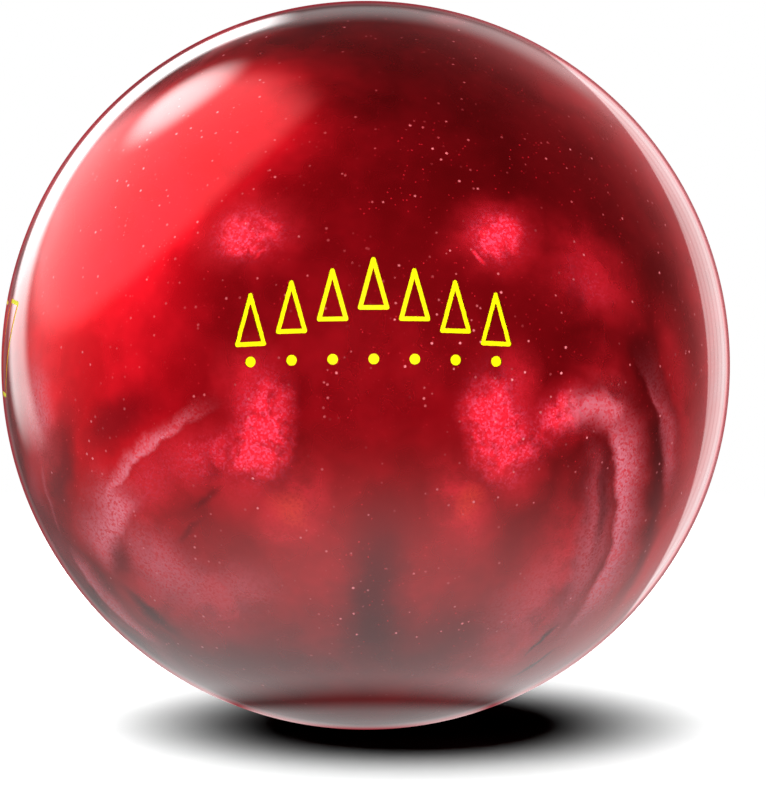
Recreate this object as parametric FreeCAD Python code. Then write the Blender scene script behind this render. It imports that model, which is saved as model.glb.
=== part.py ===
"""An undrilled bowling ball: a moulded pearl cover round a filler core, which holds a dense weight block.

Millimetres. The origin is the ball's centre, +Z is up and the emblem faces -Y.
Places on the ball are an azimuth, 0 at the front and 90 at +X, and an elevation above the equator.
"""

import FreeCAD, Part
import math
import os

Vector = FreeCAD.Vector

# Driving dimensions
ball_radius = 109.0
cover_thickness = 22.0
core_radius = ball_radius - cover_thickness
pin_radius = 4.0
pin_place = (180.0, 50.0)

# Engraved marks: a cutter follows the centre line of each mark, and the groove is filled with paint
stroke = 1.3
groove_depth = 0.9
paint_recess = 0.15
cutter_radius = stroke / 2

# Weight block, along the pin axis from the ball's centre
block_bottom = -58.0
block_top = 60.0
base_radius = 19.0
base_edge = 8.0
bulb_radius = 44.0
bulb_middle = 40.0
bulb_height = -12.0
flange_radius = 50.0
flange_half = 9.0
flange_edge = 3.0
waist_radius = 29.0
waist_height = 20.0
cap_radius = 37.0
cap_low = 35.0
cap_edge = 7.0
scallops = 4
scallop_radius = 13.0
scallop_centre = 55.0
scallop_top = 16.0

# Dense flip block, let into the top of the weight block
flip_radius = 21.0
flip_bottom = 24.0
flip_neck_radius = 14.0
flip_neck_top = 34.0
dowel_socket = 14.0

# Emblem: the markings of a bowling lane, seven arrows in a V over a row of seven dots
emblem_place = (0.0, 14.0)
arrows_each_side = 3
arrow_pitch = 11.3
arrow_drop = 3.1
arrow_width = 7.4
arrow_length = 13.6
arrow_tip = 14.4
dot_radius = 1.5
dot_height = -13.4

# Side stripes: a row of slanted outlined bars, each square to the ball where it stands
stripe_elevation = 4.0
stripe_first = -78.5
stripe_step = -9.0
stripe_count = 6
stripe_width = 10.0
stripe_height = 28.0
stripe_lean = 5.0
stripe_shrink = 0.9

# Punched dot that marks the centre of gravity, an arc below the pin
gravity_place = (180.0, 20.0)
gravity_radius = 1.3

reach = 2.0 * ball_radius
touching = 1e-6


def outward(place):
    """Placement at the ball's centre: local +Z points out at place, local +X to the right and +Y up."""
    azimuth, elevation = (math.radians(angle) for angle in place)
    right = Vector(math.cos(azimuth), math.sin(azimuth), 0)
    out = Vector(
        math.sin(azimuth) * math.cos(elevation),
        -math.cos(azimuth) * math.cos(elevation),
        math.sin(elevation),
    )
    up = out.cross(right)
    return FreeCAD.Placement(
        FreeCAD.Matrix(
            right.x, up.x, out.x, 0,
            right.y, up.y, out.y, 0,
            right.z, up.z, out.z, 0,
            0, 0, 0, 1,
        )
    )


def moved(shape, place):
    """The shape, turned from the local frame to its place on the ball."""
    shape = shape.copy()
    shape.Placement = outward(place).multiply(shape.Placement)
    return shape


def shell(inner, outer):
    """The space between two spheres about the ball's centre."""
    return Part.makeSphere(outer).cut(Part.makeSphere(inner))


def rod(radius, low, high):
    """A cylinder along local +Z, between two heights."""
    return Part.makeCylinder(radius, high - low, Vector(0, 0, low))


def prism(face):
    """A flat local face, pushed out through the ball's surface."""
    return face.extrude(Vector(0, 0, reach))


def polygon(points):
    """The flat face inside a closed run of (x, y) points."""
    corners = [Vector(x, y, 0) for x, y in points]
    return Part.Face(Part.makePolygon(corners + corners[:1]))


def engraved(face):
    """The band that the cutter leaves when it follows the face's outline."""
    outer = face.makeOffset2D(cutter_radius, 0)
    inner = face.makeOffset2D(-cutter_radius, 2)
    return outer.cut(inner)


def lane_arrow(column):
    """One slim arrow, lower the further its column is from the middle."""
    middle = column * arrow_pitch
    tip = arrow_tip - abs(column) * arrow_drop
    foot = tip - arrow_length
    return polygon([(middle, tip), (middle - arrow_width / 2, foot), (middle + arrow_width / 2, foot)])


def disc(radius, x=0.0, y=0.0):
    """A flat round face about (x, y)."""
    return Part.Face(Part.Wire(Part.makeCircle(radius, Vector(x, y, 0))))


def emblem_prisms():
    """The emblem's outlined arrows and solid dots, as prisms through the surface."""
    columns = range(-arrows_each_side, arrows_each_side + 1)
    marks = [engraved(lane_arrow(column)) for column in columns]
    marks += [disc(dot_radius, column * arrow_pitch, dot_height) for column in columns]
    return [moved(prism(mark), emblem_place) for mark in marks]


def stripe_prisms():
    """The side stripes, each one lower and slimmer than the last."""
    prisms = []
    for index in range(stripe_count):
        share = stripe_shrink ** index
        half_width = stripe_width * share / 2
        half_height = stripe_height * share / 2
        lean = stripe_lean * share
        bar = polygon(
            [
                (-half_width - lean, -half_height),
                (half_width - lean, -half_height),
                (half_width + lean, half_height),
                (-half_width + lean, half_height),
            ]
        )
        place = (stripe_first + stripe_step * index, stripe_elevation)
        prisms.append(moved(prism(engraved(bar)), place))
    return prisms


def gravity_prism():
    """The punched dot, as a prism through the surface."""
    return moved(prism(disc(gravity_radius)), gravity_place)


def let_in(prisms, low, high):
    """The part of each prism between two radii, as one group of separate solids."""
    layer = shell(low, high)
    solids = []
    for each in prisms:
        solids += layer.common(each).Solids
    return Part.makeCompound(solids)


def bend(radius, height, size, first, last):
    """A round edge of the weight block's half section, about (radius, height), between two angles."""
    ends_and_middle = [math.radians(angle) for angle in (first, (first + last) / 2, last)]
    points = [
        Vector(radius + size * math.cos(angle), 0, height + size * math.sin(angle))
        for angle in ends_and_middle
    ]
    return Part.Arc(*points)


def block_outline():
    """The weight block's half section, up its outside from the axis: base, bulb, flange, waist and cap."""
    base = bend(base_radius, block_bottom + base_edge, base_edge, -90, 0)
    bulb = Part.Arc(
        base.EndPoint,
        Vector(bulb_middle, 0, (block_bottom + bulb_height) / 2),
        Vector(bulb_radius, 0, bulb_height),
    )
    edge_centre = flange_radius - flange_edge
    low_edge = bend(edge_centre, flange_edge - flange_half, flange_edge, -90, 0)
    high_edge = bend(edge_centre, flange_half - flange_edge, flange_edge, 0, 90)
    fillet = waist_height - flange_half
    shoulder = bend(waist_radius + fillet, waist_height, fillet, 270, 180)
    flare_run = cap_radius - waist_radius
    flare_rise = cap_low - waist_height
    flare_radius = (flare_run ** 2 + flare_rise ** 2) / (2 * flare_run)
    flare_turn = math.degrees(math.asin(flare_rise / flare_radius))
    flare = bend(waist_radius + flare_radius, waist_height, flare_radius, 180, 180 - flare_turn)
    cap = bend(cap_radius - cap_edge, block_top - cap_edge, cap_edge, 0, 90)

    edges = []
    here = Vector(0, 0, block_bottom)
    for arc in (base, bulb, low_edge, high_edge, shoulder, flare, cap):
        if here.distanceToPoint(arc.StartPoint) > touching:
            edges.append(Part.LineSegment(here, arc.StartPoint).toShape())
        edges.append(arc.toShape())
        here = arc.EndPoint
    top = Vector(0, 0, block_top)
    edges.append(Part.LineSegment(here, top).toShape())
    edges.append(Part.LineSegment(top, Vector(0, 0, block_bottom)).toShape())
    return Part.Face(Part.Wire(edges))


def block_envelope():
    """The weight block's outer shape with the flip block in it, scalloped round the flange."""
    body = block_outline().revolve(Vector(0, 0, 0), Vector(0, 0, 1), 360)
    for index in range(scallops):
        angle = 2 * math.pi * index / scallops
        cutter = rod(scallop_radius, -flange_radius, scallop_top)
        cutter.translate(Vector(scallop_centre * math.cos(angle), scallop_centre * math.sin(angle), 0))
        body = body.cut(cutter)
    return body


def flip_envelope():
    """The flip block: a wide head on a narrow neck, flush with the weight block's top."""
    neck = rod(flip_neck_radius, flip_bottom, flip_neck_top)
    head = rod(flip_radius, flip_neck_top, block_top)
    return neck.fuse(head).removeSplitter()


def export(name, shape):
    """One STEP file for each node, with its size printed for a quick look."""
    if not shape.isValid():
        raise ValueError(name + " is not a valid shape")
    shape.exportStep(os.path.join("parts", name + ".step"))
    box = shape.BoundBox
    print(
        f"{name}: {len(shape.Solids)} solids, {shape.Volume / 1000:.2f} cm3,"
        f" {box.XLength:.1f} x {box.YLength:.1f} x {box.ZLength:.1f} mm"
    )


def main():
    os.makedirs("parts", exist_ok=True)
    groove_floor = ball_radius - groove_depth
    paint_top = ball_radius - paint_recess
    dowel_foot = block_top - dowel_socket
    pin_axis = moved(rod(pin_radius, dowel_foot, reach), pin_place)
    emblem = emblem_prisms()
    stripes = stripe_prisms()
    gravity = [gravity_prism()]

    cover = shell(core_radius, ball_radius).cut(pin_axis)
    grooves = let_in(emblem + stripes + gravity, groove_floor, reach)
    export("coverstock", cover.cut(grooves))
    export("pin_plug", shell(core_radius, ball_radius).common(pin_axis))

    block = block_envelope()
    flip = flip_envelope()
    placed_block = moved(block, pin_place)
    export("outer_core", Part.makeSphere(core_radius).cut(placed_block).cut(pin_axis))
    export("core_dowel", Part.makeSphere(core_radius).common(pin_axis))
    export("weight_block", moved(block.cut(flip), pin_place))
    export("flip_block", moved(flip, pin_place).cut(pin_axis))

    export("front_emblem_paint", let_in(emblem, groove_floor, paint_top))
    export("side_stripes_paint", let_in(stripes, groove_floor, paint_top))
    export("gravity_dot_paint", let_in(gravity, groove_floor, paint_top))


main()
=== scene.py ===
import math

import bmesh
import bpy
import numpy as np
from mathutils import Matrix, Vector


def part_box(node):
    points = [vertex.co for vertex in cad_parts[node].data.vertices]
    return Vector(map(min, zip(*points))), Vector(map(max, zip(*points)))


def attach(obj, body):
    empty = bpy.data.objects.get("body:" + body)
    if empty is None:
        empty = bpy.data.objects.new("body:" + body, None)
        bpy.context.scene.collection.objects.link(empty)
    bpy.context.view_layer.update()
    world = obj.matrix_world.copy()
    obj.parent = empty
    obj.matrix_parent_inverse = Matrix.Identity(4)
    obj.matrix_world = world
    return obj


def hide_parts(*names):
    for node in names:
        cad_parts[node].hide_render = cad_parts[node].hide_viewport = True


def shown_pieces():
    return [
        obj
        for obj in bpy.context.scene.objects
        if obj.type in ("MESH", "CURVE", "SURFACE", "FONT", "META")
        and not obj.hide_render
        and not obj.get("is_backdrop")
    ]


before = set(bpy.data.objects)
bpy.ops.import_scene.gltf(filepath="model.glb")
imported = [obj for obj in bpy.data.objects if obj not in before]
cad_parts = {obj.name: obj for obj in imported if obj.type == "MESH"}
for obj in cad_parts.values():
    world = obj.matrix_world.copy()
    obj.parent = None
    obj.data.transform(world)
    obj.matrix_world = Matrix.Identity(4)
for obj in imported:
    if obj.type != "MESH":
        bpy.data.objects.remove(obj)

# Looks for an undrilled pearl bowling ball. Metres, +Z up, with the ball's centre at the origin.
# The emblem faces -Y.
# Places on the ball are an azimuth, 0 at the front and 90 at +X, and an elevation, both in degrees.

bpy.context.view_layer.update()


def mesh_points(mesh):
    """A mesh's vertices, as an array of rows."""
    points = np.empty(3 * len(mesh.vertices))
    mesh.vertices.foreach_get("co", points)
    return points.reshape(-1, 3)


def radii(node):
    """The least and greatest distance of a CAD node's vertices from the ball's centre."""
    distances = np.linalg.norm(mesh_points(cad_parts[node].data), axis=1)
    return float(distances.min()), float(distances.max())


# Sizes, all from the CAD parts of model.glb
ball_low, ball_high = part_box("coverstock")
ball_radius = (ball_high.z - ball_low.z) / 2
core_radius = radii("coverstock")[0]
groove_floor, paint_top = radii("front_emblem_paint")
pin_low, pin_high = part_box("pin_plug")
pin_radius = (pin_high.x - pin_low.x) / 2
pin_middle = (pin_low + pin_high) / 2

# Fineness of the meshes
cover_cells = 120
cavity_cells = 36
mark_slice = 0.0015
plug_segments = 96
plug_rings = 6

# How the ball fills the picture, its width as a share of the picture's height, and where the camera is
picture_share = 0.9098
lens = 200.0
sensor = 36.0
camera_azimuth = -1.2
camera_elevation = 6.0
shift_right = 0.0217
shift_down = 0.0441


def place(azimuth, elevation):
    """The unit vector from the ball's centre to a place on it."""
    a, e = math.radians(azimuth), math.radians(elevation)
    return Vector((math.sin(a) * math.cos(e), -math.cos(a) * math.cos(e), math.sin(e)))


toward_camera = place(camera_azimuth, camera_elevation)
camera_right = Vector((math.cos(math.radians(camera_azimuth)), math.sin(math.radians(camera_azimuth)), 0))
camera_up = toward_camera.cross(camera_right)


def mirrored(right, up):
    """The direction that a mirror ball shows at a point of its disc, given as shares of its radius."""
    depth = math.sqrt(1 - right * right - up * up)
    normal = camera_right * right + camera_up * up + toward_camera * depth
    return normal * (2 * depth) - toward_camera


# Node trees

class Graph:
    """A node tree, written as sums and products of its values."""

    def __init__(self, tree):
        self.tree = tree
        tree.nodes.clear()

    def node(self, kind, inputs=(), **settings):
        made = self.tree.nodes.new(kind)
        for name, value in settings.items():
            setattr(made, name, value)
        for key, value in dict(inputs).items():
            self.feed(made.inputs[key], value)
        return made

    def feed(self, socket, value):
        if isinstance(value, bpy.types.NodeSocket):
            self.tree.links.new(value, socket)
        elif isinstance(value, Vector):
            socket.default_value = tuple(value)
        else:
            socket.default_value = value

    def math(self, operation, *values, clamp=False):
        return self.node("ShaderNodeMath", enumerate(values), operation=operation, use_clamp=clamp).outputs[0]

    def times(self, *values):
        total = values[0]
        for value in values[1:]:
            total = self.math("MULTIPLY", total, value)
        return total

    def plus(self, *values):
        total = values[0]
        for value in values[1:]:
            total = self.math("ADD", total, value)
        return total

    def most(self, *values):
        total = values[0]
        for value in values[1:]:
            total = self.math("MAXIMUM", total, value)
        return total

    def vector(self, operation, *values):
        made = self.node("ShaderNodeVectorMath", enumerate(values), operation=operation)
        return made.outputs["Value" if operation in ("DOT_PRODUCT", "LENGTH", "DISTANCE") else "Vector"]

    def scaled(self, vector, share):
        made = self.node("ShaderNodeVectorMath", {0: vector, "Scale": share}, operation="SCALE")
        return made.outputs["Vector"]

    def rise(self, value, low, high, first=0.0, last=1.0):
        """Smoothly from first to last, as value goes from low to high."""
        inputs = {"Value": value, "From Min": low, "From Max": high, "To Min": first, "To Max": last}
        return self.node("ShaderNodeMapRange", inputs, interpolation_type="SMOOTHSTEP").outputs["Result"]

    def between(self, value, low, full_low, full_high, high):
        """1 between full_low and full_high, and 0 outside low and high."""
        return self.times(self.rise(value, low, full_low), self.rise(value, full_high, high, 1.0, 0.0))

    def mixed(self, share, first, last):
        made = self.node("ShaderNodeMix", data_type="RGBA")
        self.feed(made.inputs[0], share)
        for socket, value in zip((made.inputs[6], made.inputs[7]), (first, last)):
            self.feed(socket, value if isinstance(value, bpy.types.NodeSocket) else (*value, 1.0))
        return made.outputs[2]

    def noise(self, where, scale, detail=2.0, roughness=0.5, output="Fac"):
        inputs = {"Vector": where, "Scale": scale, "Detail": detail, "Roughness": roughness}
        return self.node("ShaderNodeTexNoise", inputs).outputs[output]

    def cells(self, where, scale, feature="F1"):
        return self.node("ShaderNodeTexVoronoi", {"Vector": where, "Scale": scale}, feature=feature)

    def bump(self, height, strength, distance):
        inputs = {"Height": height, "Strength": strength, "Distance": distance}
        return self.node("ShaderNodeBump", inputs).outputs["Normal"]

    def where(self):
        return self.node("ShaderNodeTexCoord").outputs["Object"]


def surface(name, make):
    """A material whose Principled shader is fed by make(graph, shader)."""
    material = bpy.data.materials.new(name)
    material.use_nodes = True
    graph = Graph(material.node_tree)
    shader = graph.node("ShaderNodeBsdfPrincipled")
    output = graph.node("ShaderNodeOutputMaterial")
    graph.tree.links.new(shader.outputs["BSDF"], output.inputs["Surface"])
    make(graph, shader.inputs)
    return material


# Pearl resin

# Colours of the cast resin
deep_red = (0.95, 0.006, 0.018)
clear_red = (0.66, 0.003, 0.010)
shade_red = (0.16, 0.002, 0.006)
bright_red = (0.92, 0.010, 0.030)
pink = (1.00, 0.065, 0.140)
lilac = (0.80, 0.200, 0.265)
amber = (1.00, 0.060, 0.012)
# Painted glint: the bright pink of flakes that catch the light, painted into the colour
flake_glint = (1.00, 0.28, 0.32)

# Warps of the streaks, and the cells of the flakes, in cells per metre
slow_warp, fine_warp, ribbon_warp, wisp_warp = 0.10, 0.06, 0.8, 0.6
grain_scale, spark_scale, fine_glint_scale = 1700.0, 620.0, 1150.0

# Streaks in the pearl. Each is an azimuth, an elevation, the turn of its length from level, its half length
# and half width in degrees of arc, how far it bows, where its crest is, and its strength. A crest of 1 is a
# soft round cloud. A smaller one is nearer the streak's first edge, which makes that edge sharper.
red_clouds = [
    (-20, 25, 10, 12, 9, 0, 1, 0.75),
    (21, 25, -10, 12, 9, 0, 1, 0.9),
    (-18, -4, 84, 16, 9, 0, 0.65, 1.0),
    (19, -4, -84, 16, 9, 0, 0.65, 1.0),
    (29, -3, 20, 15, 8, 0, 1, 1.0),
    (-26, -7, 25, 15, 8, 0, 1, 0.9),
    (37, 18, -40, 15, 11, 0, 1, 0.75),
    (37, 5, -60, 10, 8, 0, 1, 0.5),
    (-38, -14, 38, 22, 9, 0, 1, 0.65),
    (-40, -30, 35, 22, 12, 0, 1, 0.8),
    (-32, -33, 10, 18, 14, 0, 1, 0.9),
    (-13, -15, 75, 13, 7, 0, 1, 0.9),
    (13, -15, -75, 13, 7, 0, 1, 0.9),
    (33, -31, 84, 32, 13, 0, 1, 1.0),
    (40, -25, -84, 26, 10, 0, 1, 0.6),
    (28, -50, 60, 24, 14, 0, 1, 0.8),
    (0, 4, 0, 34, 26, 0, 1, 0.18),
    (-62, -12, 80, 26, 8, 0, 1, 0.6),
    (-74, -33, 75, 30, 5, 0, 0.5, 0.7),
    (58, -6, -70, 26, 6, 0, 0.4, 0.6),
    (66, 5, -85, 26, 7, 0, 1, 0.6),
]
pink_clouds = [
    (-20.5, 25, 10, 7.5, 6, 0, 1, 1.5),
    (21.5, 25, -10, 7, 5.5, 0, 1, 1.3),
    (-17.5, -4, 80, 12, 6.5, 0, 1, 1.4),
    (18.5, -4, -80, 12, 7.0, 0, 1, 1.5),
    (23, -7, 40, 9, 5, 0, 1, 0.9),
    (29, -2, 30, 9, 5, 0, 1, 1.1),
    (-24, -7, 25, 10, 5, 0, 1, 0.7),
    (-17.5, 22, 42, 3.0, 0.8, 0, 1, 1.0),
    (17.5, 22, -42, 3.0, 0.8, 0, 1, 1.0),
    (-36, -12, 36, 15, 4, 0, 1, 0.4),
    (36, 17, -40, 7, 5, 0, 1, 0.40),
    (31, -42, 75, 22, 8, 0, 1, 0.55),
    (-33, -36, -30, 16, 8, 0, 1, 0.35),
]
lilac_streaks = [
    (-40, -9, 37, 21, 1.8, 0.10, 0.25, 0.8),
    (-50, -19, 52, 12, 7, 0.10, 0.25, 0.9),
    (-58, -36, -68, 14, 3.6, -0.16, 0.20, 1.0),
    (-62, -5, 74, 10, 7, 0, 1, 0.55),
    (-63, -19, 84, 8, 1.0, 0, 0.5, 0.6),
    (-38, -27, -36, 15, 9, 0, 1, 0.6),
    (-26, -31, 20, 12, 7, 0, 1, 0.35),
    (36, -2, -14, 8, 5.0, 0.35, 0.6, 0.85),
    (46.5, -20, -80, 27, 5.5, 0.17, 0.20, 1.0),
    (38, -24, -84, 24, 5.0, 0.10, 1, 0.60),
    (28, -33, 70, 13, 8, 0, 1, 0.30),
    (52, -5, -66, 16, 3.0, 0.05, 0.2, 0.70),
]
amber_clouds = [
    (-13.5, -15, -60, 4, 3, 0, 1, 0.45),
    (14, -15, 60, 4, 3, 0, 1, 0.45),
]
# Two of the dark streaks are painted reflections, not the resin's own: the first, low in the middle of the
# front, paints the dark floor under the ball that the polish mirrors, and the long narrow one at azimuth 53
# paints a dark band mirrored on the right
dark_streaks_and_painted_reflections = [
    (0.5, -32, 90, 24, 7.5, 0, 1, 1.0),
    (-41, -3, 28, 14, 5.0, 0, 1, 0.75),
    (-56, -8, 50, 13, 4.5, 0, 1, 0.65),
    (-26, -14, 32, 4.5, 1.1, 0, 1, 0.5),
    (-30, -20, 38, 4.5, 1.0, 0, 1, 0.5),
    (-48, -26, 50, 6, 4, 0, 1, 0.6),
    (-46, -37, -48, 9, 2.4, 0, 1, 0.7),
    (-57, -12, 62, 17, 4.5, 0, 1, 0.85),
    (38, -17, -84, 12, 2.0, 0, 1, 0.55),
    (37, -41, 72, 5.5, 0.9, 0, 1, 1.0),
    (42, -48, 60, 5.5, 0.9, 0, 1, 1.0),
    (53, -20, -80, 28, 3.4, 0.12, 0.5, 0.65),
    (47, 3, -60, 12, 4, 0, 1, 0.6),
]


def streak(graph, direction, spot):
    """How strongly one streak shows at a direction from the ball's centre."""
    azimuth, elevation, turn, half_length, half_width, bow, crest, strength = spot
    centre = place(azimuth, elevation)
    level = Vector((math.cos(math.radians(azimuth)), math.sin(math.radians(azimuth)), 0))
    rising = centre.cross(level)
    angle = math.radians(turn)
    along_axis = level * math.cos(angle) + rising * math.sin(angle)
    across_axis = rising * math.cos(angle) - level * math.sin(angle)
    along = graph.vector("DOT_PRODUCT", direction, along_axis / math.sin(math.radians(half_length)))
    across = graph.vector("DOT_PRODUCT", direction, across_axis / math.sin(math.radians(half_width)))
    if bow:
        bend = bow * half_length / half_width
        across = graph.math("MULTIPLY_ADD", graph.times(along, along), bend, across)
    near = graph.math("GREATER_THAN", graph.vector("DOT_PRODUCT", direction, centre), 0.0)
    if crest < 1:
        profile = graph.between(across, -1.0, 2 * crest - 1.0, 2 * crest - 1.0, 1.0)
        profile = graph.times(graph.rise(graph.math("ABSOLUTE", along), 0.35, 1.0, strength, 0.0), profile)
    else:
        reach = graph.math("SQRT", graph.plus(graph.times(along, along), graph.times(across, across)))
        profile = graph.rise(reach, 0.1, 1.0, strength, 0.0)
    return graph.times(near, profile)


def streaks(graph, direction, spots):
    """How strongly the strongest of some streaks shows."""
    return graph.most(*(streak(graph, direction, spot) for spot in spots))


def flakes_with_painted_glint(graph, where, scale, edges, strength, share):
    """Round flakes whose glint is painted in as bright colour, one in each of a share of the resin's cells.
    """
    cells = graph.cells(where, scale)
    lot = graph.node("ShaderNodeSeparateColor", {"Color": cells.outputs["Color"]}).outputs["Green"]
    size = graph.rise(cells.outputs["Distance"], *edges, strength, 0.0)
    return graph.times(size, graph.rise(lot, 1.0 - share, 1.0))


def pearl_resin(graph, shader):
    """Deep red resin with clouds of mica flakes under a polished skin. The flakes' sparkle and two dark
    reflections are painted into its colour.
    """
    where = graph.where()
    direction = graph.vector("NORMALIZE", where)

    # Pouring swirls: a slow warp bends every streak, and a finer one frays its edges
    slow = graph.vector("SUBTRACT", graph.noise(direction, 2.2, 2.0, 0.5, "Color"), (0.5, 0.5, 0.5))
    fine = graph.vector("SUBTRACT", graph.noise(direction, 11.0, 3.0, 0.55, "Color"), (0.5, 0.5, 0.5))
    warped = graph.vector("ADD", direction, graph.scaled(slow, slow_warp))
    warped = graph.vector("ADD", warped, graph.scaled(fine, fine_warp))

    # Flakes: each cell of the resin holds one flake with its own tilt
    grain = graph.cells(where, grain_scale)
    tilt = graph.node("ShaderNodeSeparateColor", {"Color": grain.outputs["Color"]})
    glint = graph.math("MULTIPLY_ADD", tilt.outputs["Red"], 1.2, 0.2, clamp=True)
    silver = graph.rise(tilt.outputs["Green"], 0.35, 1.0, 0.0, 1.0)
    spread = graph.rise(graph.noise(direction, 3.0, 2.0), 0.35, 0.65, 0.25, 1.0)
    # Painted glints: the sparkle of the mica, painted into the colour as bright dots of two sizes
    painted_sparks = graph.times(flakes_with_painted_glint(graph, where, spark_scale, (0.12, 0.34), 1.0, 0.10), spread)
    fine_painted_glints = graph.times(flakes_with_painted_glint(graph, where, fine_glint_scale, (0.15, 0.40), 0.6, 0.12), spread)

    # Long warped ribbons all round, kept off the front, which has streaks of its own
    ribbons_at = graph.vector("ADD", direction, graph.scaled(slow, ribbon_warp))
    ribbon_noise = graph.noise(graph.vector("MULTIPLY", ribbons_at, (1.0, 1.4, 0.8)), 2.3, 2.0, 0.4)
    front = graph.vector("DOT_PRODUCT", direction, toward_camera)
    off_front = graph.rise(front, 0.20, 0.50, 1.0, 0.0)
    ribbon_red = graph.times(graph.rise(ribbon_noise, 0.46, 0.66), off_front)
    ribbon_pink = graph.times(graph.rise(ribbon_noise, 0.54, 0.72, 0.0, 0.8), off_front)
    wisp_noise = graph.noise(graph.vector("ADD", direction, graph.scaled(slow, wisp_warp)), 1.7, 2.0, 0.4)
    wisps = graph.times(graph.between(wisp_noise, 0.44, 0.485, 0.49, 0.56), off_front)

    # Darkening by the dark streaks, two of which are painted reflections
    dark = streaks(graph, warped, dark_streaks_and_painted_reflections)
    keep = graph.math("SUBTRACT", 1.0, dark)
    red = graph.times(graph.most(streaks(graph, warped, red_clouds), ribbon_red), keep)
    rosy = graph.times(graph.most(streaks(graph, warped, pink_clouds), ribbon_pink), keep)
    pale = graph.times(graph.most(streaks(graph, warped, lilac_streaks), graph.times(wisps, 0.5)), keep)
    warm = streaks(graph, warped, amber_clouds)

    # Uneven depth of flakes breaks the clouds into patches
    rosy = graph.times(rosy, graph.rise(graph.noise(warped, 17.0, 3.0, 0.6), 0.34, 0.58, 0.45, 1.0))
    red = graph.times(red, graph.rise(graph.noise(warped, 7.0, 3.0, 0.6), 0.32, 0.60, 0.45, 1.0))

    haze = graph.noise(direction, 4.5, 3.0, 0.6)
    colour = graph.mixed(graph.rise(haze, 0.35, 0.7), clear_red, deep_red)
    colour = graph.mixed(graph.times(dark, 0.85), colour, shade_red)
    colour = graph.mixed(graph.times(red, glint), colour, bright_red)
    colour = graph.mixed(rosy, colour, graph.mixed(silver, bright_red, pink))
    colour = graph.mixed(graph.times(warm, glint), colour, amber)
    colour = graph.mixed(graph.times(pale, glint), colour, lilac)
    # The painted glints of the flakes go on top
    colour = graph.mixed(fine_painted_glints, colour, bright_red)
    colour = graph.mixed(painted_sparks, colour, flake_glint)
    scattered = graph.most(
        graph.times(red, 0.55),
        graph.times(rosy, 0.95),
        graph.times(pale, 0.95),
        graph.times(warm, 0.9),
        painted_sparks,
        fine_painted_glints,
    )
    graph.feed(shader["Base Color"], colour)
    graph.feed(shader["Metallic"], graph.math("SUBTRACT", 1.0, scattered, clamp=True))
    graph.feed(shader["Roughness"], graph.rise(haze, 0.3, 0.7, 0.24, 0.32))
    shader["Coat Weight"].default_value = 1.0
    shader["Coat Roughness"].default_value = 0.0
    shader["Coat IOR"].default_value = 1.52
    shader["IOR"].default_value = 1.52


def mark_paint(graph, shader):
    """Glossy yellow enamel, levelled by hand, so a little uneven in depth."""
    where = graph.where()
    depth = graph.noise(where, 300.0, 3.0)
    graph.feed(shader["Base Color"], graph.mixed(depth, (0.98, 0.90, 0.0), (1.0, 0.98, 0.002)))
    graph.feed(shader["Roughness"], graph.rise(depth, 0.3, 0.7, 0.28, 0.4))
    graph.feed(shader["Normal"], graph.bump(depth, 0.15, 0.0004))
    shader["Specular IOR Level"].default_value = 0.3


def dot_paint(graph, shader):
    """The same enamel in the punched dot, pale so that it is found easily."""
    depth = graph.noise(graph.where(), 500.0, 3.0)
    graph.feed(shader["Base Color"], graph.mixed(depth, (0.80, 0.78, 0.70), (0.92, 0.90, 0.84)))
    graph.feed(shader["Roughness"], graph.rise(depth, 0.3, 0.7, 0.3, 0.42))
    graph.feed(shader["Normal"], graph.bump(depth, 0.15, 0.0004))


def pin_resin(graph, shader):
    """Plain cast resin, ivory, polished flush with the cover."""
    where = graph.where()
    cloud = graph.noise(where, 220.0, 4.0, 0.6)
    graph.feed(shader["Base Color"], graph.mixed(cloud, (0.86, 0.74, 0.42), (0.93, 0.86, 0.62)))
    graph.feed(shader["Roughness"], graph.rise(cloud, 0.3, 0.7, 0.2, 0.32))
    shader["Coat Weight"].default_value = 1.0
    shader["Coat Roughness"].default_value = 0.0


def core_filler(graph, shader):
    """Light filler resin, with small air bubbles from the mould."""
    where = graph.where()
    cloud = graph.noise(where, 30.0, 5.0, 0.6)
    bubbles = graph.rise(graph.cells(where, 260.0).outputs["Distance"], 0.08, 0.2)
    graph.feed(shader["Base Color"], graph.mixed(cloud, (0.28, 0.30, 0.30), (0.46, 0.47, 0.45)))
    graph.feed(shader["Roughness"], graph.rise(cloud, 0.3, 0.7, 0.5, 0.7))
    graph.feed(shader["Normal"], graph.bump(bubbles, 0.4, 0.0006))


def weight_resin(graph, shader):
    """Dense cast resin, blue-grey, with a faint mould texture."""
    where = graph.where()
    cloud = graph.noise(where, 45.0, 4.0, 0.6)
    grit = graph.noise(where, 1400.0, 2.0)
    graph.feed(shader["Base Color"], graph.mixed(cloud, (0.05, 0.12, 0.30), (0.08, 0.19, 0.42)))
    graph.feed(shader["Roughness"], graph.rise(grit, 0.3, 0.7, 0.38, 0.55))
    graph.feed(shader["Normal"], graph.bump(grit, 0.3, 0.0002))


def mineral_resin(graph, shader):
    """The densest pour: resin loaded with pale mineral grains."""
    where = graph.where()
    grains = graph.node("ShaderNodeSeparateColor", {"Color": graph.cells(where, 1500.0).outputs["Color"]})
    cloud = graph.noise(where, 80.0, 3.0)
    body = graph.mixed(cloud, (0.42, 0.40, 0.36), (0.58, 0.56, 0.50))
    pale_grains = graph.rise(grains.outputs["Red"], 0.7, 1.0)
    graph.feed(shader["Base Color"], graph.mixed(pale_grains, body, (0.85, 0.84, 0.8)))
    graph.feed(shader["Roughness"], graph.rise(cloud, 0.3, 0.7, 0.55, 0.75))
    graph.feed(shader["Normal"], graph.bump(grains.outputs["Green"], 0.25, 0.0002))


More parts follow.
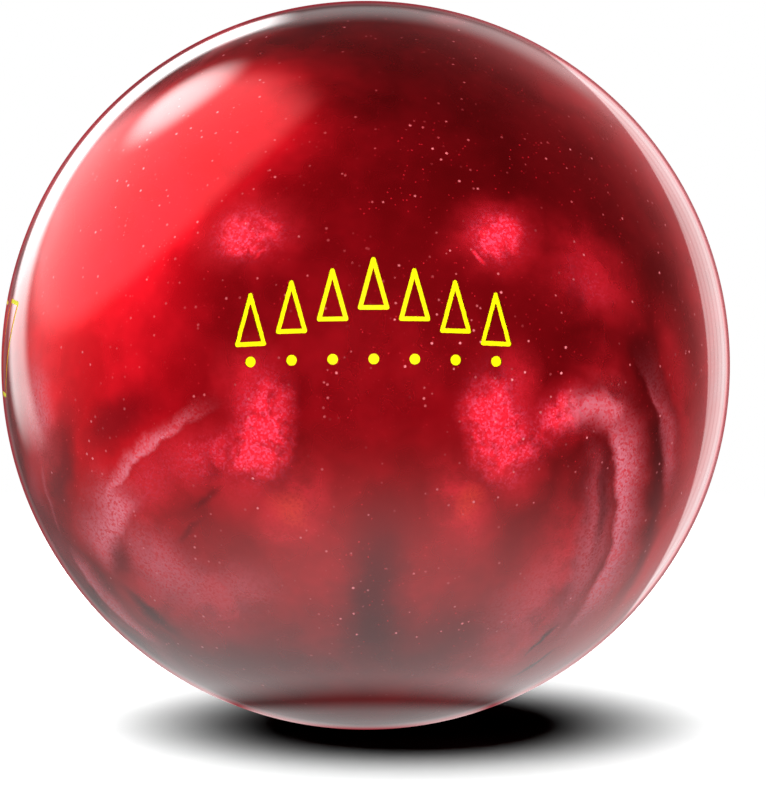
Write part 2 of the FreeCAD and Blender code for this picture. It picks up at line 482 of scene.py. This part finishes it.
def dowel_wood(graph, shader):
    """Beech, with its grain along the dowel."""
    pin_axis = pin_middle.normalized()
    where = graph.where()
    along = graph.vector("DOT_PRODUCT", where, pin_axis)
    stretched = graph.vector("SUBTRACT", where, graph.scaled(pin_axis, graph.times(along, 0.92)))
    grain = graph.noise(stretched, 1800.0, 3.0, 0.6)
    rings = graph.rise(grain, 0.35, 0.65)
    graph.feed(shader["Base Color"], graph.mixed(rings, (0.42, 0.25, 0.12), (0.66, 0.45, 0.26)))
    graph.feed(shader["Roughness"], graph.rise(grain, 0.3, 0.7, 0.55, 0.75))
    graph.feed(shader["Normal"], graph.bump(grain, 0.3, 0.0002))


materials = {
    make.__name__: surface(make.__name__ + "_look", make)
    for make in (
        pearl_resin, mark_paint, dot_paint, pin_resin, core_filler, weight_resin, mineral_resin, dowel_wood
    )
}


# Meshes

def sphere_mesh(name, radius, cells, inward=False):
    """A ball of even square cells: a cube's six faces, bulged out to the radius."""
    steps = np.tan(np.linspace(-math.pi / 4, math.pi / 4, cells + 1))
    first, second = (grid.ravel() for grid in np.meshgrid(steps, steps, indexing="ij"))
    unit = np.ones_like(first)
    points, faces = [], []
    corner = np.arange(cells * (cells + 1)).reshape(cells, cells + 1)[:, :-1].ravel()
    quads = np.stack([corner, corner + cells + 1, corner + cells + 2, corner + 1], axis=1)
    for axis in range(3):
        for sign in (1.0, -1.0):
            side = np.stack([sign * unit, first, second], axis=1)
            side = np.roll(side, axis, axis=1)
            points.append(side / np.linalg.norm(side, axis=1, keepdims=True) * radius)
            turned = quads if (sign > 0) != inward else quads[:, ::-1]
            faces.append(turned + len(unit) * len(faces))
    mesh = bpy.data.meshes.new(name)
    mesh.from_pydata(np.concatenate(points).tolist(), [], np.concatenate(faces).tolist())
    work = bmesh.new()
    work.from_mesh(mesh)
    bmesh.ops.remove_doubles(work, verts=work.verts, dist=radius * 1e-5)
    work.to_mesh(mesh)
    work.free()
    return mesh


def mark_mesh(node, floor, top):
    """A CAD mark, cut into short slices so that its top follows the ball, between two radii."""
    work = bmesh.new()
    work.from_mesh(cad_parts[node].data)
    bmesh.ops.remove_doubles(work, verts=work.verts, dist=1e-7)
    low = np.array([vert.co for vert in work.verts]).min(axis=0)
    high = np.array([vert.co for vert in work.verts]).max(axis=0)
    for axis in range(3):
        normal = Vector((0, 0, 0))
        normal[axis] = 1
        for place_along in np.arange(low[axis] + mark_slice / 2, high[axis], mark_slice):
            everything = work.verts[:] + work.edges[:] + work.faces[:]
            point = normal * place_along
            bmesh.ops.bisect_plane(work, geom=everything, dist=1e-7, plane_co=point, plane_no=normal)
    middle = (groove_floor + paint_top) / 2
    for vert in work.verts:
        vert.co = vert.co.normalized() * (top if vert.co.length > middle else floor)
    mesh = bpy.data.meshes.new(node)
    work.to_mesh(mesh)
    work.free()
    return mesh


def plug_mesh(name, low, high):
    """The pin's plug between two radii from the ball's centre, with domed ends."""
    axis = pin_middle.normalized()
    side = Vector((1, 0, 0))
    other = axis.cross(side)
    work = bmesh.new()
    ends = []
    for radius in (low, high):
        rings = []
        for ring in range(1, plug_rings + 1):
            reach = pin_radius * ring / plug_rings
            along = axis * math.sqrt(radius * radius - reach * reach)
            turns = [2 * math.pi * step / plug_segments for step in range(plug_segments)]
            spokes = [side * (reach * math.cos(turn)) for turn in turns]
            cross_spokes = [other * (reach * math.sin(turn)) for turn in turns]
            points = [along + first + second for first, second in zip(spokes, cross_spokes)]
            rings.append([work.verts.new(point) for point in points])
        ends.append((work.verts.new(axis * radius), rings))
    for tip, rings in ends:
        for step in range(plug_segments):
            after = (step + 1) % plug_segments
            work.faces.new((tip, rings[0][step], rings[0][after]))
            for inner, outer in zip(rings, rings[1:]):
                work.faces.new((inner[step], outer[step], outer[after], inner[after]))
    bottom, top = ends[0][1][-1], ends[1][1][-1]
    for step in range(plug_segments):
        after = (step + 1) % plug_segments
        work.faces.new((bottom[step], bottom[after], top[after], top[step]))
    bmesh.ops.recalc_face_normals(work, faces=work.faces)
    mesh = bpy.data.meshes.new(name)
    work.to_mesh(mesh)
    work.free()
    return mesh


def joined(name, meshes):
    """Several meshes in one."""
    work = bmesh.new()
    for mesh in meshes:
        work.from_mesh(mesh)
    mesh = bpy.data.meshes.new(name)
    work.to_mesh(mesh)
    work.free()
    return mesh


def placed(name, mesh):
    """An object in the scene that shows the mesh."""
    piece = bpy.data.objects.new(name, mesh)
    bpy.context.scene.collection.objects.link(piece)
    return piece


def cut(mesh, cutter_mesh):
    """The mesh with the cutter's space taken out."""
    body, cutter = placed("cut_body", mesh), placed("cutter", cutter_mesh)
    taken = body.modifiers.new("taken", "BOOLEAN")
    taken.operation, taken.solver, taken.object = "DIFFERENCE", "MANIFOLD", cutter
    result = bpy.data.meshes.new_from_object(body.evaluated_get(bpy.context.evaluated_depsgraph_get()))
    for spent in (body, cutter):
        bpy.data.objects.remove(spent)
    return result


def round_shading(mesh, spheres):
    """Faces on the given spheres get the sphere's own normals, so reflections don't show the cells."""
    points = mesh_points(mesh)
    distances = np.linalg.norm(points, axis=1)
    on_sphere = [np.abs(distances - radius) < radius * 2e-5 for radius, _ in spheres]
    normals = [(0.0, 0.0, 0.0)] * len(mesh.loops)
    smooth = []
    for face in mesh.polygons:
        verts = list(face.vertices)
        sign = 0
        for (radius, outward), hits in zip(spheres, on_sphere):
            if hits[verts].all():
                sign = outward
        smooth.append(sign != 0)
        if sign:
            for loop in face.loop_indices:
                vert = mesh.loops[loop].vertex_index
                normals[loop] = tuple(points[vert] * (sign / distances[vert]))
    mesh.polygons.foreach_set("use_smooth", smooth)
    mesh.normals_split_custom_set(normals)


def add(name, mesh, node, slot):
    """One finished piece, in its CAD node's place."""
    mesh.materials.clear()
    mesh.materials.append(materials[slot])
    piece = placed(name, mesh)
    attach(piece, "root")
    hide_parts(node)
    return piece


def build_ball():
    """The cover with its grooves and pin hole cut, the paint in the grooves, and the plug in the hole."""
    clear = ball_radius * 1.02
    marks = {
        "front_emblem_paint": "mark_paint",
        "side_stripes_paint": "mark_paint",
        "gravity_dot_paint": "dot_paint",
    }
    cutters = [mark_mesh(node, groove_floor, clear) for node in marks]
    cutters.append(plug_mesh("pin_hole", core_radius * 0.97, clear))
    shell = joined(
        "shell",
        [
            sphere_mesh("outside", ball_radius, cover_cells),
            sphere_mesh("inside", core_radius, cavity_cells, inward=True),
        ],
    )
    cover = cut(shell, joined("cutters", cutters))
    round_shading(cover, [(ball_radius, 1), (core_radius, -1)])
    add("pearl_coverstock", cover, "coverstock", "pearl_resin")
    for node, slot in marks.items():
        paint = mark_mesh(node, groove_floor, paint_top)
        round_shading(paint, [(paint_top, 1)])
        add(node + "_enamel", paint, node, slot)
    plug = plug_mesh("plug", core_radius, ball_radius)
    round_shading(plug, [(ball_radius, 1), (core_radius, -1)])
    add("polished_pin_plug", plug, "pin_plug", "pin_resin")


def dress_cad_nodes():
    """Materials for the inner pieces, which keep their CAD meshes."""
    slots = {
        "outer_core": "core_filler",
        "weight_block": "weight_resin",
        "flip_block": "mineral_resin",
        "core_dowel": "dowel_wood",
    }
    for node, slot in slots.items():
        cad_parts[node].material_slots[0].material = materials[slot]


build_ball()
dress_cad_nodes()


# Camera

def add_camera():
    """A long lens, shifted so that the ball stands a little left of the picture's middle and above it."""
    data = bpy.data.cameras.new("camera")
    data.lens, data.sensor_width = lens, sensor
    data.shift_x, data.shift_y = shift_right, -shift_down
    half_angle = math.atan(picture_share * sensor / 2 / lens)
    camera = bpy.data.objects.new("camera", data)
    camera.location = toward_camera * (ball_radius / math.sin(half_angle))
    camera.rotation_mode = "QUATERNION"
    camera.rotation_quaternion = (-toward_camera).to_track_quat("-Z", "Y")
    bpy.context.scene.collection.objects.link(camera)
    bpy.context.scene.camera = camera


# Studio

def off_axis(turn, lean):
    """The direction that leans from the camera's axis by an angle, toward a turn about it."""
    turn, lean = math.radians(turn), math.radians(lean)
    aside = camera_right * math.cos(turn) + camera_up * math.sin(turn)
    return aside * math.sin(lean) + toward_camera * math.cos(lean)


# Softboxes round the ball. An axis points at the middle of one, and its edges are the angles from the axis,
# in degrees, at which its light ends and is full. A turn is an angle about the camera's axis, 0 at the right.
key_axis = (camera_right * -0.649 + camera_up * 0.684 - toward_camera * 0.334).normalized()
key_edges = (40.0, 33.0)
halo_edges = (68.0, 34.0)
left_axis = mirrored(-0.74, 0.06)
left_edges = (54.0, 16.0)
window_turn = 8.0
window_axis = off_axis(window_turn, 155.0)
window_edges = (20.5, 19.0)

# Black flags, which cut the key's far side
far_flag_axis = (camera_right * 0.212 + camera_up * 0.626 - toward_camera * 0.750).normalized()
far_flag_edges = (44.0, 36.0)
top_flag_axis = (camera_right * 0.45 + camera_up * 0.80 - toward_camera * 0.35).normalized()
top_flag_edges = (50.0, 38.0)

# What only the polish shows: a hot spot in the key, and a strip and a band along the ball's rim. The
# strip's span is cosines of angles from its pole, and the band's is shares of the disc's radius.
hot_spot = mirrored(-0.50, 0.712)
hot_spot_edge = 14.0
strip_turn = 148.0
strip_peak_turn = 122.0
strip_pole = off_axis(120.0, 37.0)
strip_span = (-0.59, -0.50, -0.37, -0.27)
band_turn = 84.0
band_span = (0.925, 0.962, 0.968, 0.985)
blind_pitch = 560.0
backdrop_red = (0.75, 0.05, 0.08)
backdrop_strength = 0.5

# Strengths of the light that the pearl gathers, and of what the polish mirrors
front_glow = (0.11, 0.30)
key_glow, halo_glow, left_glow, right_glow, right_edge_glow, low_glow = 1.15, 0.36, 0.62, 0.7, 0.05, 0.30
room_gleam, key_gleam, spot_gleam, band_gleam, window_gleam = 0.02, 0.66, 6.0, 0.55, 1.45
strip_gleam, strip_peak_gleam = 2.1, 3.2


def spot_on(graph, direction, axis, edges):
    """1 within the inner angle of a softbox's axis, fading to 0 at the outer one."""
    outer, inner = (math.cos(math.radians(edge)) for edge in edges)
    return graph.rise(graph.vector("DOT_PRODUCT", direction, axis), outer, inner)


def limb_sector(graph, direction, turn, full, faded):
    """1 round one part of the ball's rim, by the angle about the camera's axis, fading to 0."""
    toward = camera_right * math.cos(math.radians(turn)) + camera_up * math.sin(math.radians(turn))
    depth = graph.vector("DOT_PRODUCT", direction, toward_camera)
    flat = graph.vector("SUBTRACT", direction, graph.scaled(toward_camera, depth))
    flat = graph.vector("NORMALIZE", flat)
    near = graph.vector("DOT_PRODUCT", flat, toward)
    return graph.rise(near, math.cos(math.radians(faded)), math.cos(math.radians(full)))


def flagged(graph, direction, edges):
    """The key's light between two edges, less what the flags cut."""
    return graph.times(
        spot_on(graph, direction, key_axis, edges),
        graph.times(
            graph.math("SUBTRACT", 1.0, spot_on(graph, direction, far_flag_axis, far_flag_edges)),
            graph.math("SUBTRACT", 1.0, spot_on(graph, direction, top_flag_axis, top_flag_edges)),
        ),
    )


def gathered(graph, direction, depth):
    """The broad light that the rough flakes under the polish gather."""
    side = graph.times(
        limb_sector(graph, direction, window_turn, 40, 80),
        graph.plus(
            graph.rise(depth, -0.4, -0.9, 0.0, right_glow), graph.rise(depth, 0.3, -0.3, 0.0, right_edge_glow)
        ),
    )
    low = graph.times(
        graph.rise(graph.vector("DOT_PRODUCT", direction, camera_up), -0.4, -0.95),
        graph.rise(depth, -0.4, 0.4),
        low_glow,
    )
    return graph.plus(
        graph.rise(depth, 0.0, 1.0, *front_glow),
        side,
        low,
        graph.times(flagged(graph, direction, key_edges), key_glow),
        graph.times(flagged(graph, direction, halo_edges), halo_glow),
        graph.times(spot_on(graph, direction, left_axis, left_edges), left_glow),
    )


def mirrored_light(graph, direction, rim):
    """The sharp shapes that the polish mirrors. rim is 0 at the middle of the ball's disc, 1 at its edge."""
    spot = graph.rise(
        graph.vector("DOT_PRODUCT", direction, hot_spot), math.cos(math.radians(hot_spot_edge)), 1.0
    )
    strip = graph.times(
        graph.between(graph.vector("DOT_PRODUCT", direction, strip_pole), *strip_span),
        graph.rise(rim, 0.978, 0.99, 1.0, 0.0),
        limb_sector(graph, direction, strip_turn, 36, 48),
        graph.math(
            "MULTIPLY_ADD",
            limb_sector(graph, direction, strip_peak_turn, 5, 55),
            strip_peak_gleam,
            strip_gleam,
        ),
    )
    band = graph.times(graph.between(rim, *band_span), limb_sector(graph, direction, band_turn, 24, 44))
    blinds = graph.math("SINE", graph.times(rim, blind_pitch))
    window = graph.times(
        spot_on(graph, direction, window_axis, window_edges),
        graph.rise(rim, 0.985, 0.994, 1.0, 0.0),
        graph.rise(blinds, 0.2, 0.9, 1.0, 0.78),
    )
    return graph.plus(
        room_gleam,
        graph.times(flagged(graph, direction, key_edges), key_gleam),
        graph.times(graph.times(spot, spot), spot_gleam),
        strip,
        graph.times(band, band_gleam),
        graph.times(window, window_gleam),
    )


def add_world():
    """White to the camera, the mirrored shapes to the polish, and the gathered light to all else."""
    world = bpy.data.worlds.new("studio")
    world.use_nodes = True
    bpy.context.scene.world = world
    graph = Graph(world.node_tree)
    direction = graph.node("ShaderNodeTexCoord").outputs["Generated"]
    path = graph.node("ShaderNodeLightPath").outputs
    camera_ray, sharp_ray = path["Is Camera Ray"], path["Is Singular Ray"]
    depth = graph.vector("DOT_PRODUCT", direction, toward_camera)
    rim = graph.math("SQRT", graph.math("MULTIPLY_ADD", depth, -0.5, 0.5))
    strength = graph.plus(
        graph.times(sharp_ray, mirrored_light(graph, direction, rim)),
        graph.times(graph.math("SUBTRACT", 1.0, sharp_ray), gathered(graph, direction, depth)),
    )
    strength = graph.plus(graph.times(strength, graph.math("SUBTRACT", 1.0, camera_ray)), camera_ray)

    # A dim red backdrop right behind the ball, so that its edge stays red, and no light by way of the floor
    behind = graph.times(graph.rise(rim, 0.976, 0.992), sharp_ray)
    strength = graph.math("MAXIMUM", strength, graph.times(behind, backdrop_strength))
    strength = graph.times(strength, graph.math("LESS_THAN", path["Diffuse Depth"], 0.5))
    tint = graph.mixed(behind, (1, 1, 1), backdrop_red)
    background = graph.node("ShaderNodeBackground", {"Color": tint, "Strength": strength})
    output = graph.node("ShaderNodeOutputWorld")
    graph.tree.links.new(background.outputs[0], output.inputs["Surface"])
    world.cycles_visibility.diffuse = False


def only_on(light, receivers):
    """The light falls on these objects alone."""
    group = bpy.data.collections.new(light.name + "_receivers")
    for each in receivers:
        group.objects.link(each)
    light.light_linking.receiver_collection = group


def add_light(name, kind, direction, strength, size, receivers, distance=1.0):
    """A soft light that looks at the ball's centre and leaves no highlight of its own."""
    data = bpy.data.lights.new(name, kind)
    data.energy = strength
    if kind == "SUN":
        data.angle = math.radians(size)
    else:
        data.shape, data.size = "DISK", size
    light = bpy.data.objects.new(name, data)
    light.location = direction.normalized() * distance
    light.rotation_mode = "QUATERNION"
    light.rotation_quaternion = direction.normalized().to_track_quat("Z", "Y")
    light.visible_glossy = False
    bpy.context.scene.collection.objects.link(light)
    only_on(light, receivers)


# The floor, from the point under the ball: where it fades out, and the painted shadow that darkens its grey
# toward the contact
floor_radius = 1.6
floor_fade = (0.25, 0.55)
floor_greys = (0.115, 0.125)
painted_shadow_centre = (0.012, 0.0)
painted_shadow_stretch = (1.0, 1.3)
painted_shadow_fade = (0.02, 0.100)
painted_shadow_grey = 0.006

# The card that the polish mirrors: a ring near the contact, and a glow that starts outside it and dies away
card_radius = 0.70
card_gap = 0.0001
card_stretch = (1.2, 1.0)
card_ring = (0.012, 0.030, 0.038, 0.050)
card_ring_strength = 0.55
card_start = (0.047, 0.066)
card_centre = (0.0, -0.09)
card_reach = 0.12
card_strength = 1.42


def disc_mesh(name, radius, height):
    """A flat disc."""
    work = bmesh.new()
    at = Matrix.Translation((0, 0, height))
    bmesh.ops.create_circle(work, cap_ends=True, segments=128, radius=radius, matrix=at)
    mesh = bpy.data.meshes.new(name)
    work.to_mesh(mesh)
    work.free()
    return mesh


def stage_disc(name, radius, height):
    """A disc under the ball with a blank node tree: the object, and the tree's graph."""
    disc = placed(name, disc_mesh(name, radius, height))
    material = bpy.data.materials.new(name)
    material.use_nodes = True
    disc.data.materials.append(material)
    return disc, Graph(material.node_tree)


def floor_distance(graph, centre=(0.0, 0.0), stretch=(1.0, 1.0)):
    """How far a point of the floor is from a centre, with x and y stretched."""
    offset = graph.vector("SUBTRACT", graph.where(), (*centre, 0.0))
    return graph.vector("LENGTH", graph.vector("MULTIPLY", offset, (*stretch, 0.0)))


def add_floor():
    """A matt floor that fades into the background, with a painted shadow that darkens its grey round the
    point under the ball. Its light is strong, so its greys come out white.
    """
    floor, graph = stage_disc("floor", floor_radius, -ball_radius)
    darker, paler = ((grey,) * 3 for grey in floor_greys)
    chalk_and_painted_shadow = graph.mixed(graph.noise(graph.where(), 60.0, 4.0), darker, paler)
    # Painted shadow: the floor's grey is painted nearly black round the point under the ball, on top of the
    # real shadow from the overhead light
    clear_of_painted_shadow = graph.rise(floor_distance(graph, painted_shadow_centre, painted_shadow_stretch), *painted_shadow_fade)
    chalk_and_painted_shadow = graph.mixed(clear_of_painted_shadow, (painted_shadow_grey,) * 3, chalk_and_painted_shadow)
    matt = graph.node("ShaderNodeBsdfDiffuse", {"Color": chalk_and_painted_shadow}).outputs[0]
    open_air = graph.node("ShaderNodeBsdfTransparent").outputs[0]
    fade = graph.rise(floor_distance(graph), *floor_fade)
    mix = graph.node("ShaderNodeMixShader", {0: fade, 1: matt, 2: open_air}).outputs[0]
    graph.node("ShaderNodeOutputMaterial", {"Surface": mix})
    floor.visible_glossy = floor.visible_diffuse = False
    floor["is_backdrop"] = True
    return floor


def add_bounce_card():
    """A card just under the floor, which glows for the polish alone."""
    card, graph = stage_disc("bounce_card", card_radius, -ball_radius - card_gap)
    away = floor_distance(graph, stretch=card_stretch)
    ring = graph.times(graph.between(away, *card_ring), card_ring_strength)
    falloff = graph.math("POWER", graph.times(floor_distance(graph, card_centre), 1 / card_reach), 3.0)
    glow = graph.times(
        graph.rise(away, *card_start), graph.math("DIVIDE", card_strength, graph.plus(falloff, 1.0))
    )
    sharp_ray = graph.node("ShaderNodeLightPath").outputs["Is Singular Ray"]
    strength = graph.times(graph.plus(ring, glow), sharp_ray)
    light = graph.node("ShaderNodeEmission", {"Strength": strength}).outputs[0]
    open_air = graph.node("ShaderNodeBsdfTransparent").outputs[0]
    both = graph.node("ShaderNodeAddShader", {0: open_air, 1: light}).outputs[0]
    graph.node("ShaderNodeOutputMaterial", {"Surface": both})
    card.visible_camera = card.visible_diffuse = card.visible_shadow = False
    card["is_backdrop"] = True


# Lights: the fills' width is an angle in degrees
fill_width = 40.0
overhead_direction = Vector((-0.22, 0.02, 1))
overhead_power = 540.0
overhead_width = 2.40
overhead_distance = 0.9


def add_lights(floor):
    """Weak fills on the ball from all sides, and a broad overhead light on the floor."""
    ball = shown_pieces()
    for name, azimuth, elevation, strength in (
        ("front_fill", 0, 12, 3.1),
        ("left_fill", -85, 10, 1.6),
        ("right_fill", 85, 5, 1.3),
        ("back_fill", 180, 15, 2.0),
        ("top_fill", 0, 85, 1.2),
        ("low_fill", 0, -60, 1.0),
    ):
        add_light(name, "SUN", place(azimuth, elevation), strength, fill_width, ball)
    add_light(
        "overhead", "AREA", overhead_direction, overhead_power, overhead_width, [floor], overhead_distance
    )


add_camera()
add_world()
ground = add_floor()
add_bounce_card()
add_lights(ground)
bpy.context.scene.view_settings.view_transform = "Standard"

bpy.context.view_layer.update()
